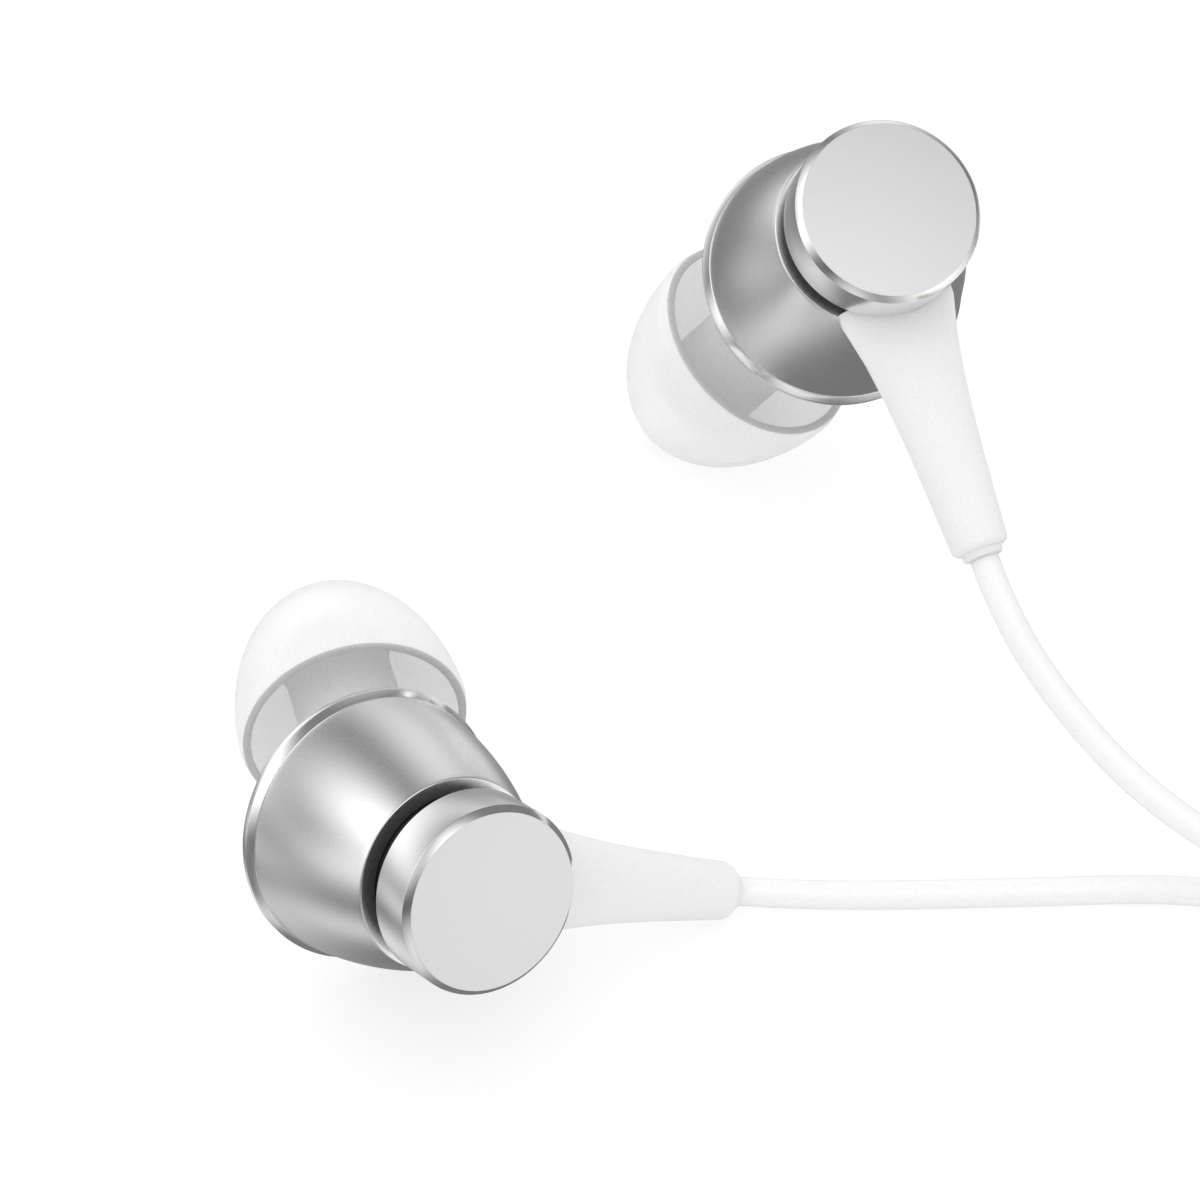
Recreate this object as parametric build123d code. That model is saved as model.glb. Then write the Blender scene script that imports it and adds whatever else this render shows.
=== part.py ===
from build123d import *
from math import atan2, cos, pi, radians, sin, tan
import os

# Wired in-ear earphones: two angled earpieces, a Y-junction with a button and a microphone,
# and a four-pole 3.5 mm plug. All sizes are in millimetres. The headset lies on a table, the
# plane Z = 0, and the cord that isn't in use is wound into two coils.
#
# An earpiece is drawn in its own frame: the origin is the centre of the cap's face, +Z points
# out of that face and +X along the cord relief. The nozzle leans off -Z, mostly sideways, so
# the left and the right earpiece are mirror images in local Y.

# --- Fits ---------------------------------------------------------------------------------
GLUED = 0.02  # radial gap between round parts that are glued or pressed together
RUNNING = 0.05  # radial clearance where one part slides on another

# --- Earpiece: cap, groove, bell and ring, as depths below the cap's face ---------------------
CAP_R = 4.82
CAP_DEPTH = 2.80
CAP_CHAMFER = 0.31
CAP_TOP = 0.9  # thickness of the cap's face
LINER_R = 4.10  # the dark sleeve at the bottom of the groove
LINER_WALL = 0.8
LINER_TOP = 1.5
LINER_BOTTOM = 5.2
BELL_TOP = 4.04
BELL_TOP_R = 4.96
BELL_MID = 7.70
BELL_MID_R = 6.15
BELL_BOTTOM = 11.40
BELL_BOTTOM_R = 6.79
BELL_WALL = 0.6
RING_R = 7.07
RING_CHAMFER = 0.40
RING_BOTTOM = 12.20
RING_HOLE_R = 5.50

# --- Earpiece: front cover and nozzle ---------------------------------------------------------
PIVOT = 10.06  # depth where the nozzle's axis leaves the cap's axis
NOZZLE_LEAN = 27.8  # degrees off the cap's axis
NOZZLE_TURN = 71.2  # degrees from the cord relief, round the cap's axis
COVER_APEX = 13.5
COVER_WALL = 0.7
NECK_R = 2.75
NECK_END = 5.40  # distances along the nozzle's axis, from the pivot
NOZZLE_R = 1.90
NOZZLE_BORE_R = 1.40
NOZZLE_END = 12.3
BARB_R = 2.20
BARB_LENGTH = 0.9
SCREEN_R = 1.70
SCREEN_THICK = 0.25

# --- Ear tip, along the nozzle's axis --------------------------------------------------------
TIP_CORE_R = 2.75
TIP_RIM = 7.76
TIP_RIM_R = 5.80
TIP_RIM_WALL = 0.42
TIP_DOME_R = 5.97
TIP_DOME_LENGTH = 9.15
TIP_DOME_CENTRE = 8.14
TIP_MOUTH_R = 1.75
TIP_BORE_END = 13.4
TIP_TRAVEL = 6.0  # how far a tip slides before it is off the barb

# --- Driver, inside the bell ------------------------------------------------------------------
DRIVER_R = 4.9
FLANGE_R = 5.42
DRIVER_FRONT = 10.0
DIAPHRAGM = 9.62
DRIVER_BACK = 7.2
COIL_R = 2.55

# --- Cord reliefs on the earpieces ------------------------------------------------------------
RELIEF_ROOT = 4.3
RELIEF_END = 17.3
COLLAR_END = 17.7
# Distance from the cap's axis, half width, half height and depth of the relief's sections.
RELIEF_SECTIONS = [
    (4.3, 3.10, 1.45, 4.05),
    (8.5, 2.22, 1.42, 4.25),
    (12.5, 1.80, 1.42, 4.42),
    (17.3, 1.47, 1.42, 4.58),
]

# --- How the earpieces lie: cap centre, lean off vertical, heading of the lean and of the cord ---
EARPIECES = {
    "right": {"cap": (-6.13, -20.69, 12.76), "lean": 60.6, "heading": -51.9, "cord": 17.7, "turn": 1},
    "left": {"cap": (13.56, 12.90, 24.36), "lean": 25.95, "heading": -64.9, "cord": -68.7, "turn": -1},
}

# --- Cords and coils ---------------------------------------------------------------------------
EAR_CORD = 1.5
MAIN_CORD = 1.8
TIE = 0.4  # thickness of the ties, on which the coils lie
TIE_WIDTH = 24.0  # degrees of a coil that a tie covers
COILS = {
    # centre, radius at the middle of the turns, turns side by side and one above another
    "ear": {"centre": (50.0, -8.0), "radius": 9.0, "wide": 3, "high": 2, "cord": EAR_CORD},
    "main": {"centre": (47.9, 33.5), "radius": 10.8, "wide": 3, "high": 4, "cord": MAIN_CORD},
}
RIGHT_LAYER = TIE + EAR_CORD / 2
LEFT_LAYER = TIE + 7 * EAR_CORD / 2
MAIN_LAYER = TIE + MAIN_CORD / 2

# Corners of each free stretch of cord, from its exit to its end.
ROUTES = {
    "right_cord": (EAR_CORD, [
        (5.74, -12.96, 1.19), (6.19, -12.82, 0.9), (6.85, -12.76, 0.75), (8.0, -12.84, 0.75),
        (10.2, -12.93, 0.75), (14.4, -12.95, 0.75), (21.5, -12.75, 0.75), (29.5, -12.5, 0.78),
        (37.6, -14.3, 0.9), (44.0, -17.3, 1.1), (48.5, -18.45, RIGHT_LAYER)]),
    "left_cord": (EAR_CORD, [
        (18.49, -0.11, 12.48), (19.45, -2.55, 11.2), (21.9, -5.9, 8.9), (26.2, -10.3, 6.6),
        (31.6, -14.1, 5.6), (37.8, -16.6, 5.65), (44.0, -18.1, 5.65), (48.5, -18.5, LEFT_LAYER)]),
    "right_cord_tail": (EAR_CORD, [
        (60.5, -7.0, 2.65), (60.3, -4.3, 2.6), (59.6, -1.7, 2.55), (59.25, 1.0, 2.5)]),
    "left_cord_tail": (EAR_CORD, [
        (60.5, -7.0, 4.15), (60.8, -4.2, 4.2), (61.7, -1.6, 3.3), (61.75, 1.0, 2.5)]),
    "main_cord": (MAIN_CORD, [
        (60.5, 26.0, 2.5), (60.5, 28.0, 2.35), (60.5, 31.0, 1.55), (60.5, 33.5, MAIN_LAYER)]),
    "main_cord_tail": (MAIN_CORD, [
        (35.3, 32.0, 6.7), (35.8, 26.5, 6.8), (38.2, 20.6, 7.1), (42.0, 16.0, 7.9),
        (44.5, 11.9, 8.7), (45.0, 7.4, 8.9)]),
}

# --- Y-junction with the button and the microphone -----------------------------------------------
POD = (60.5, 12.0)  # centre, on the table
POD_LENGTH = 18.0
POD_WIDTH = 6.6
POD_HEIGHT = 5.0
POD_SEAM = 2.4
POD_WALL = 0.7
POD_ROUND = 1.2
BUTTON_SIZE = (2.9, 6.4)
BUTTON_AT = 2.2  # from the junction's centre, towards the plug
BUTTON_PROUD = 0.45
BUTTON_TRAVEL = 0.3
BOARD_THICK = 0.6
MIC_R = 1.3
MIC_AT = -5.6
GLAND_LENGTH = 2.0
MAIN_GLAND_LENGTH = 5.0

# --- Plug, lying across the smaller coil with its tip towards -Y -----------------------------------
PLUG_AXIS = (45.0, 8.9)  # X and Z
PLUG_RELIEF_START = 7.4
PLUG_BODY_START = 0.5
PLUG_BODY_R = 2.5
PLUG_BODY_LENGTH = 14.0
CONTACT_R = 1.75
CORE_R = 0.8
# The contacts and the rings that part them, as lengths from the body to the nose.
BARREL_LENGTH = 6.6
INSULATOR_LENGTH = 0.4
BAND_LENGTH = 1.6
NOSE_LENGTH = 3.4


# --- Shapes -------------------------------------------------------------------------------------
def turned(*outline):
    """A solid of revolution about Z, from its (radius, height) corners."""
    return revolve(make_face(Plane.XZ * Polyline(*outline, close=True)), Axis.Z)


def turned_curve(outline):
    """A solid of revolution about Z, from a closed chain of lines and arcs in (radius, height)."""
    return revolve(make_face(Plane.XZ * outline), Axis.Z)


def sleeve(outer, inner, low, high):
    """A plain tube about Z between two heights."""
    return turned((inner, low), (outer, low), (outer, high), (inner, high))


def disc(radius, low, high):
    """A plain cylinder about Z between two heights."""
    return Pos(0, 0, (low + high) / 2) * Cylinder(radius, high - low)


def cord_path(corners):
    """Straight runs joined by tangent arcs, each as large as its two runs allow."""
    points = [Vector(*p) for p in corners]
    radii = []
    for before, here, after in zip(points, points[1:], points[2:]):
        turn = (here - before).get_angle(after - here)
        shorter = min((here - before).length, (after - here).length)
        radii.append(0.45 * shorter / tan(radians(turn / 2)))
    return FilletPolyline(*points, radius=radii), radii


def cord_tube(name, diameter, corners):
    """A round cord along its route; its arcs and its volume are printed."""
    path, radii = cord_path(corners)
    start = Plane(origin=path @ 0, z_dir=path % 0)
    tube = sweep(start * Circle(diameter / 2), path=path)
    expected = pi * diameter**2 / 4 * path.length
    print(name, "length %.1f" % path.length, "volume ratio %.4f" % (tube.volume / expected))
    print("   radii", ["%.1f" % r for r in radii])
    return tube


# --- Earpiece parts ---------------------------------------------------------------------------
def cap():
    inner = LINER_R + GLUED
    return turned(
        (0, 0), (CAP_R - CAP_CHAMFER, 0), (CAP_R, -CAP_CHAMFER), (CAP_R, -CAP_DEPTH),
        (inner, -CAP_DEPTH), (inner, -CAP_TOP), (0, -CAP_TOP),
    )


def groove_liner():
    return sleeve(LINER_R, LINER_R - LINER_WALL, -LINER_BOTTOM, -LINER_TOP)


def bell_solid(gap=0.0):
    """The bell's outer form, filled; a gap makes it that much larger."""
    top = (BELL_TOP_R + gap, -BELL_TOP + gap)
    middle = (BELL_MID_R + gap, -BELL_MID)
    bottom = (BELL_BOTTOM_R + gap, -BELL_BOTTOM)
    side = ThreePointArc(top, middle, bottom)
    closing = Polyline(bottom, (0, -BELL_BOTTOM), (0, -BELL_TOP + gap), top)
    return turned_curve(side + closing)


def bell():
    hollow = ThreePointArc(
        (BELL_TOP_R - BELL_WALL, -BELL_TOP - BELL_WALL),
        (BELL_MID_R - BELL_WALL, -BELL_MID),
        (BELL_BOTTOM_R - BELL_WALL, -BELL_BOTTOM),
    )
    closing = Polyline(
        (BELL_BOTTOM_R - BELL_WALL, -BELL_BOTTOM),
        (0, -BELL_BOTTOM),
        (0, -BELL_TOP - BELL_WALL),
        (BELL_TOP_R - BELL_WALL, -BELL_TOP - BELL_WALL),
    )
    mouth = disc(LINER_R + GLUED, -LINER_BOTTOM, -BELL_TOP)
    return bell_solid() - turned_curve(hollow + closing) - mouth


def trim_ring():
    return turned(
        (RING_HOLE_R, -BELL_BOTTOM), (BELL_BOTTOM_R, -BELL_BOTTOM), (RING_R, -BELL_BOTTOM - RING_CHAMFER),
        (RING_R - 0.03, -RING_BOTTOM), (RING_HOLE_R, -RING_BOTTOM),
    )


def nozzle_plane(side):
    """Plane at the pivot with its normal along the nozzle, away from the cap."""
    lean, turn = radians(NOZZLE_LEAN), radians(NOZZLE_TURN) * side
    direction = (sin(lean) * cos(turn), sin(lean) * sin(turn), -cos(lean))
    return Plane(origin=(0, 0, -PIVOT), x_dir=(cos(turn), sin(turn), tan(lean)), z_dir=direction)


def cover_dome(edge_r, apex):
    """A shallow dome below the trim ring, from its edge radius to its apex's depth."""
    edge, top = (edge_r, -RING_BOTTOM), (0, -apex)
    rise = apex - RING_BOTTOM
    sphere_r = (edge_r**2 + rise**2) / (2 * rise)
    shoulder_r = edge_r / 2
    shoulder = (shoulder_r, -apex + sphere_r - (sphere_r**2 - shoulder_r**2) ** 0.5)
    return turned_curve(ThreePointArc(edge, shoulder, top) + Polyline(top, (0, -RING_BOTTOM), edge))


def nozzle_cover(side):
    """Front cover and sound tube in one: a shallow dome on the ring, a neck and the barbed nozzle."""
    inner = DRIVER_R + 0.2
    dome = cover_dome(RING_R - 0.22, COVER_APEX)
    spigot = disc(RING_HOLE_R - GLUED, -RING_BOTTOM, -DRIVER_FRONT)
    hollow = cover_dome(inner, COVER_APEX - COVER_WALL) + disc(inner, -RING_BOTTOM, -DRIVER_FRONT + 1)
    place = nozzle_plane(side)
    neck = place * disc(NECK_R, 1.6, NECK_END)
    barb_start = NOZZLE_END - BARB_LENGTH
    stem = place * turned(
        (0, 2.0), (NOZZLE_R, 2.0), (NOZZLE_R, barb_start), (BARB_R, barb_start),
        (BARB_R, NOZZLE_END - 0.4), (BARB_R - 0.3, NOZZLE_END), (0, NOZZLE_END),
    )
    bore = place * disc(NOZZLE_BORE_R, 1.0, NOZZLE_END)
    recess = place * disc(SCREEN_R + GLUED, NOZZLE_END - SCREEN_THICK - 0.05, NOZZLE_END)
    return (dome + spigot + neck + stem) - hollow - bore - recess


def nozzle_screen(side):
    top = NOZZLE_END - 0.05
    return nozzle_plane(side) * disc(SCREEN_R, top - SCREEN_THICK, top)


def ear_tip(side):
    """Soft tip: a core that slides on the nozzle, a domed front with the sound mouth, and a thin skirt."""
    mouth_height = TIP_DOME_CENTRE + TIP_DOME_LENGTH * (1 - (TIP_MOUTH_R / TIP_DOME_R) ** 2) ** 0.5
    shoulder = TIP_RIM + 0.7
    shoulder_r = TIP_DOME_R * (1 - ((shoulder - TIP_DOME_CENTRE) / TIP_DOME_LENGTH) ** 2) ** 0.5
    crown_r = 4.2
    crown = TIP_DOME_CENTRE + TIP_DOME_LENGTH * (1 - (crown_r / TIP_DOME_R) ** 2) ** 0.5
    bore = BARB_R + RUNNING
    inner_rim = TIP_RIM_R - TIP_RIM_WALL
    outline = (
        Polyline((bore, NECK_END), (TIP_CORE_R, NECK_END), (TIP_CORE_R, TIP_BORE_END - 0.3))
        + ThreePointArc((TIP_CORE_R, TIP_BORE_END - 0.3), (4.65, 11.8), (inner_rim, TIP_RIM))
        + Line((inner_rim, TIP_RIM), (TIP_RIM_R, TIP_RIM))
        + Line((TIP_RIM_R, TIP_RIM), (shoulder_r, shoulder))
        + Spline(
            (shoulder_r, shoulder), (5.55, 11.54), (crown_r, crown), (TIP_MOUTH_R, mouth_height),
            tangents=[(0.0, 1.0), (-1.0, 0.42)],
        )
        + Polyline(
            (TIP_MOUTH_R, mouth_height), (TIP_MOUTH_R, TIP_BORE_END), (bore, TIP_BORE_END), (bore, NECK_END)
        )
    )
    return nozzle_plane(side) * turned_curve(outline)


def cord_relief():
    """Soft sleeve that fills a notch of the groove, rests on the bell's edge and tapers to the cord."""
    sections = [
        Plane(origin=(x, 0, -depth), x_dir=(0, 1, 0), z_dir=(1, 0, 0)) * Ellipse(half_width, half_height)
        for x, half_width, half_height, depth in RELIEF_SECTIONS
    ]
    body = loft(sections)
    end = Plane(origin=(RELIEF_END, 0, -RELIEF_SECTIONS[-1][3]), x_dir=(0, 1, 0), z_dir=(1, 0, 0))
    collar = end * disc(1.05, 0, COLLAR_END - RELIEF_END)
    neck_width = 2 * RELIEF_SECTIONS[0][1] - 0.4
    neck_length = RELIEF_ROOT + 0.6 - LINER_R
    neck = Pos(LINER_R + neck_length / 2, 0, -(CAP_DEPTH + BELL_TOP) / 2) * Box(
        neck_length, neck_width, BELL_TOP - CAP_DEPTH - 2 * GLUED
    )
    whole = body + collar + neck
    return whole - disc(CAP_R + GLUED, -CAP_DEPTH, 0) - bell_solid(GLUED) - disc(LINER_R + GLUED, -6, 0)


def driver_parts():
    """The dynamic driver: basket, magnet, yoke, pole plate, voice coil, diaphragm, damper and tags."""
    basket = turned(
        (4.4, -DRIVER_FRONT), (FLANGE_R, -DRIVER_FRONT), (FLANGE_R, -DIAPHRAGM), (DRIVER_R, -DIAPHRAGM),
        (DRIVER_R, -DRIVER_BACK), (3.62, -DRIVER_BACK), (3.62, -DRIVER_BACK - 0.4),
        (4.62, -DRIVER_BACK - 0.4), (4.62, -DIAPHRAGM), (4.4, -DIAPHRAGM),
    )
    yoke = turned(
        (0, -5.9), (3.6, -5.9), (3.6, -8.6), (2.8, -8.6), (2.8, -6.6), (0, -6.6),
    )
    diaphragm = turned(
        (0, -DIAPHRAGM - 0.42), (COIL_R, -DIAPHRAGM), (4.55, -DIAPHRAGM), (4.55, -DIAPHRAGM + 0.12),
        (COIL_R, -DIAPHRAGM + 0.12), (0, -DIAPHRAGM - 0.3),
    )
    return {
        "driver_frame": basket,
        "yoke": yoke,
        "magnet": disc(2.05, -8.0, -6.6),
        "pole_plate": disc(2.15, -8.6, -8.0),
        "voice_coil": sleeve(COIL_R, 2.3, -DIAPHRAGM + 0.12, -8.0),
        "diaphragm": diaphragm,
        "rear_damper": sleeve(4.8, 3.65, -DRIVER_BACK, -DRIVER_BACK + 0.15),
        "terminal_board": Pos(0, 0, -5.65) * Box(4.2, 2.6, 0.5),
    }


def earpiece(place, side):
    """Every part of one earpiece, laid where the earpiece lies."""
    parts = {
        "cap": cap(),
        "groove_liner": groove_liner(),
        "bell": bell(),
        "trim_ring": trim_ring(),
        "nozzle_cover": nozzle_cover(side),
        "nozzle_screen": nozzle_screen(side),
        "ear_tip": ear_tip(side),
        "cord_relief": cord_relief(),
        **driver_parts(),
    }
    return {name: place.location * shape for name, shape in parts.items()}


def earpiece_plane(cap, lean, heading, cord, turn):
    """Where an earpiece lies: at the cap's centre, Z out of the cap, X along the cord relief."""
    lean, heading, cord = radians(lean), radians(heading), radians(cord)
    axis = Vector(sin(lean) * cos(heading), sin(lean) * sin(heading), cos(lean))
    slope = atan2(-(axis.X * cos(cord) + axis.Y * sin(cord)), axis.Z)
    relief = Vector(cos(cord) * cos(slope), sin(cord) * cos(slope), sin(slope))
    return Plane(origin=cap, x_dir=relief, z_dir=axis)


# --- Y-junction ---------------------------------------------------------------------------------
def pod_parts():
    """Two half shells round a small board, with a button on top and a microphone beneath it."""
    outer = Pos(0, 0, POD_HEIGHT / 2) * Box(POD_WIDTH, POD_LENGTH, POD_HEIGHT)
    outer = fillet(outer.edges().filter_by(Axis.Y), POD_ROUND)
    outer = chamfer(outer.faces().filter_by(Axis.Y).edges(), 0.3)
    inner = Pos(0, 0, POD_HEIGHT / 2) * Box(
        POD_WIDTH - 2 * POD_WALL, POD_LENGTH - 2 * POD_WALL, POD_HEIGHT - 2 * POD_WALL
    )
    inner = fillet(inner.edges().filter_by(Axis.Y), POD_ROUND - POD_WALL)
    upper_half = Pos(0, 0, POD_SEAM + POD_HEIGHT / 2) * Box(POD_WIDTH, POD_LENGTH, POD_HEIGHT)
    lower_half = Pos(0, 0, POD_SEAM - POD_HEIGHT / 2) * Box(POD_WIDTH, POD_LENGTH, POD_HEIGHT)
    end_y = POD_LENGTH / 2
    ear_bore = Pos(0, -end_y, 2.5) * Box(4.5, 2 * POD_WALL + 0.2, 2.1)
    main_bore = Pos(0, end_y, 2.5) * Rot(90, 0, 0) * Cylinder(1.2, 2 * POD_WALL + 0.2)
    shell = outer - inner - ear_bore - main_bore

    width, length = BUTTON_SIZE
    top = POD_HEIGHT + BUTTON_PROUD
    under = POD_HEIGHT - POD_WALL - BUTTON_TRAVEL
    board_top = POD_SEAM + 0.3
    switch_top = board_top + 1.0
    keycap = extrude(SlotOverall(length, width, rotation=90), top - under)
    stem = disc(0.7, switch_top - under, 0)
    button = Pos(0, BUTTON_AT, under) * (keycap + stem)
    opening = Pos(0, BUTTON_AT, POD_HEIGHT - 2 * POD_WALL) * extrude(
        SlotOverall(length + 2 * RUNNING, width + 2 * RUNNING, rotation=90), 3 * POD_WALL
    )
    mic_hole = Pos(0, MIC_AT, 0) * Cylinder(0.4, 3 * POD_WALL)

    board_under = board_top - BOARD_THICK
    board_width = POD_WIDTH - 2 * POD_WALL - 0.1
    board = Pos(0, 0, (board_top + board_under) / 2) * Box(board_width, POD_LENGTH - 3.2, BOARD_THICK)
    switch_height = switch_top - BUTTON_TRAVEL - board_top
    switch = Pos(0, BUTTON_AT, board_top + switch_height / 2) * Box(2.6, 3.2, switch_height)
    mic = Pos(0, MIC_AT, 0) * disc(MIC_R, POD_WALL, board_under)
    gland_block = Pos(0, -end_y - GLAND_LENGTH / 2, 2.5) * Box(5.6, GLAND_LENGTH, 3.4)
    gland_block = fillet(gland_block.edges().filter_by(Axis.Y), 0.8)
    gland_plug = Pos(0, -end_y + POD_WALL / 2, 2.5) * Box(4.4, POD_WALL, 2.0)
    main_gland = Pos(0, end_y, 2.5) * Rot(-90, 0, 0) * turned(
        (0, -POD_WALL), (1.15, -POD_WALL), (1.15, 0), (2.0, 0), (1.9, 1.0), (1.3, MAIN_GLAND_LENGTH),
        (0, MAIN_GLAND_LENGTH),
    )
    parts = {
        "junction_top": (shell & upper_half) - opening,
        "junction_bottom": (shell & lower_half) - mic_hole,
        "junction_button": button,
        "junction_board": board,
        "button_switch": switch,
        "microphone": mic,
        "ear_cord_gland": gland_block + gland_plug,
        "main_cord_gland": main_gland,
    }
    return {name: Pos(*POD, 0) * shape for name, shape in parts.items()}


# --- Plug ----------------------------------------------------------------------------------------
def plug_parts():
    """Four-pole plug on an insulated core, drawn along +Z from the body's front and then laid down."""
    relief_length = PLUG_RELIEF_START - PLUG_BODY_START
    body = turned(
        (0, -PLUG_BODY_LENGTH), (PLUG_BODY_R - 0.4, -PLUG_BODY_LENGTH),
        (PLUG_BODY_R, -PLUG_BODY_LENGTH + 0.4), (PLUG_BODY_R, -0.5), (PLUG_BODY_R - 0.5, 0), (0, 0),
    )
    start = -PLUG_BODY_LENGTH
    relief_end = start - relief_length
    relief = turned((0, relief_end), (1.25, relief_end), (1.9, start - 1.0), (1.9, start), (0, start))
    heights = [BARREL_LENGTH]
    for step in (INSULATOR_LENGTH, BAND_LENGTH, INSULATOR_LENGTH, BAND_LENGTH, INSULATOR_LENGTH):
        heights.append(heights[-1] + step)
    barrel_top, band_1, band_1_top, band_2, band_2_top, nose = heights
    nose_top = nose + NOSE_LENGTH
    rings = [(barrel_top, band_1), (band_1_top, band_2), (band_2_top, nose)]
    insulators = [sleeve(CONTACT_R, CORE_R, low, high) for low, high in rings]
    tip = turned(
        (0, nose), (1.68, nose), (1.72, nose + 0.5), (1.15, nose + 1.25), (1.6, nose + 1.9),
        (1.45, nose + 2.5), (0.35, nose_top), (0, nose_top),
    )
    parts = {
        "plug_body": body,
        "plug_relief": relief,
        "plug_barrel": sleeve(CONTACT_R, CORE_R, 0, barrel_top),
        "plug_rear_band": sleeve(CONTACT_R, CORE_R, band_1, band_1_top),
        "plug_front_band": sleeve(CONTACT_R, CORE_R, band_2, band_2_top),
        "plug_tip": tip,
        "plug_insulators": Compound(children=insulators),
        "plug_core": disc(CORE_R - GLUED, 0, nose),
    }
    axis_x, axis_z = PLUG_AXIS
    front = PLUG_BODY_START - PLUG_BODY_LENGTH
    place = Plane(origin=(axis_x, front, axis_z), x_dir=(1, 0, 0), z_dir=(0, -1, 0))
    return {name: place.location * shape for name, shape in parts.items()}


# --- Coils ----------------------------------------------------------------------------------------
def coil_ring(coil, low, layers):
    """The outer form of a stretch of coil: a ring with square corners."""
    half = coil["wide"] * coil["cord"] / 2
    ring = sleeve(coil["radius"] + half, coil["radius"] - half, low, low + layers * coil["cord"])
    return Pos(*coil["centre"], 0) * ring


def coil_tie(coil, layers, direction):
    """A thin band round the turns, at one place of the coil."""
    half = coil["wide"] * coil["cord"] / 2 + GLUED
    top = TIE + layers * coil["cord"] + GLUED
    radius = coil["radius"]
    band = Plane.XZ * (
        Pos(radius, (TIE + top) / 2) * Rectangle(2 * (half + TIE), top + TIE - GLUED)
        - Pos(radius, (TIE + top) / 2) * Rectangle(2 * half, top - TIE + 2 * GLUED)
    )
    sector = revolve(band, Axis.Z, revolution_arc=TIE_WIDTH)
    return Pos(*coil["centre"], 0) * Rot(0, 0, direction - TIE_WIDTH / 2) * sector


def coil_parts():
    ear, main = COILS["ear"], COILS["main"]
    return {
        "right_coil": coil_ring(ear, TIE, ear["high"]),
        "left_coil": coil_ring(ear, TIE + ear["high"] * EAR_CORD, ear["high"]),
        "main_coil": coil_ring(main, TIE, main["high"]),
        "ear_coil_tie": coil_tie(ear, 2 * ear["high"], 75),
        "main_coil_tie": coil_tie(main, main["high"], -78),
    }


# --- The whole headset -------------------------------------------------------------------------------
def headset():
    nodes = {}
    for hand, lie in EARPIECES.items():
        for name, shape in earpiece(earpiece_plane(**lie), lie["turn"]).items():
            nodes[f"{hand}_{name}"] = shape
    nodes.update(pod_parts())
    nodes.update(plug_parts())
    nodes.update(coil_parts())
    for name, (diameter, corners) in ROUTES.items():
        nodes[name] = cord_tube(name, diameter, corners)
    return nodes


os.makedirs("parts", exist_ok=True)
for name, shape in headset().items():
    export_step(shape, f"parts/{name}.step")
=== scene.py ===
from math import atan2, copysign, cos, floor, pi, radians, sin, sqrt, tan

import bmesh
import bpy
from mathutils import Matrix, Vector


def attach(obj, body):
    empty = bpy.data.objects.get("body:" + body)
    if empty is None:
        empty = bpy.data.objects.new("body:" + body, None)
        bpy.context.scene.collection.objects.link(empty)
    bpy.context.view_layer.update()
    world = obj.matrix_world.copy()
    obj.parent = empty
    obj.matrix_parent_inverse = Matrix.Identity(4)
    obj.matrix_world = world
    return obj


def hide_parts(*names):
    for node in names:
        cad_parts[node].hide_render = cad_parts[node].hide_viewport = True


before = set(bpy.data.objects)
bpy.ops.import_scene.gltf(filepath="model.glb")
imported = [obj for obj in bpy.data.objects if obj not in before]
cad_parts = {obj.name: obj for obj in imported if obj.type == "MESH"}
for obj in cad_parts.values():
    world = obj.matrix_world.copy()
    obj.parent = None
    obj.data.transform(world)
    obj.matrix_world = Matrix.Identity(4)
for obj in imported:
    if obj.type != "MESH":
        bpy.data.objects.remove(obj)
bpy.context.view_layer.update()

MM = 0.001
MICRON = 1e-6
ON_AXIS = 1e-6  # a radius below this, in mm, is on the axis

# How the earpieces lie, as in the CAD: cap centre in mm, lean of the cap's axis off vertical, heading of
# that lean and heading of the cord relief in degrees, and the side the nozzle turns to.
LIES = {
    "right": {"cap": (-6.13, -20.69, 12.76), "lean": 60.6, "heading": -51.9, "cord": 17.7, "turn": 1},
    "left": {"cap": (13.56, 12.90, 24.36), "lean": 25.95, "heading": -64.9, "cord": -68.7, "turn": -1},
}

# Earpiece sizes in mm, as depths below the cap's face and radii about the cap's axis.
CAP_R, CAP_DEPTH, CAP_CHAMFER, CAP_TOP = 4.82, 2.80, 0.31, 0.9
LINER_R, LINER_WALL, LINER_TOP, LINER_BOTTOM = 4.10, 0.8, 1.5, 5.2
BELL_TOP, BELL_TOP_R = 4.04, 4.96
BELL_MID, BELL_MID_R = 7.70, 6.15
BELL_BOTTOM, BELL_BOTTOM_R, BELL_WALL = 11.40, 6.79, 0.6
RING_R, RING_CHAMFER, RING_BOTTOM, RING_HOLE_R = 7.07, 0.40, 12.20, 5.50
COVER_APEX, COVER_WALL, COVER_STEP = 13.5, 0.7, 0.22
DRIVER_R = 4.9
PART_GAP = 0.02  # between pieces that are glued together

# The nozzle's pivot as a depth below the cap's face and its direction in degrees, then its sizes in mm as
# distances along it from the pivot and radii about it.
PIVOT, NOZZLE_LEAN, NOZZLE_TURN = 10.06, 27.8, 71.2
NECK_R, NECK_START, NECK_END = 2.75, 1.9, 5.40
NOZZLE_R, NOZZLE_BORE_R, NOZZLE_END = 1.90, 1.40, 12.3
BARB_R, BARB_LENGTH, BARB_TAPER = 2.20, 0.9, 0.4
SCREEN_R, SCREEN_SEAT = 1.70, 0.3
WIRE_R, WIRE_PITCH, WIRE_WAVE = 0.05, 0.22, 0.05
TIP_CORE_R, TIP_RIM, TIP_RIM_R, TIP_RIM_WALL = 2.75, 7.76, 5.80, 0.42
TIP_INSIDE = (4.65, 11.8)  # a place on the inside of the skirt
TIP_DOME_R, TIP_DOME_LENGTH, TIP_DOME_CENTRE, TIP_DOME_START = 5.97, 9.15, 8.14, 8.46
TIP_MOUTH_R, TIP_BORE_END, TIP_BORE_R = 1.75, 13.4, 2.25

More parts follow.
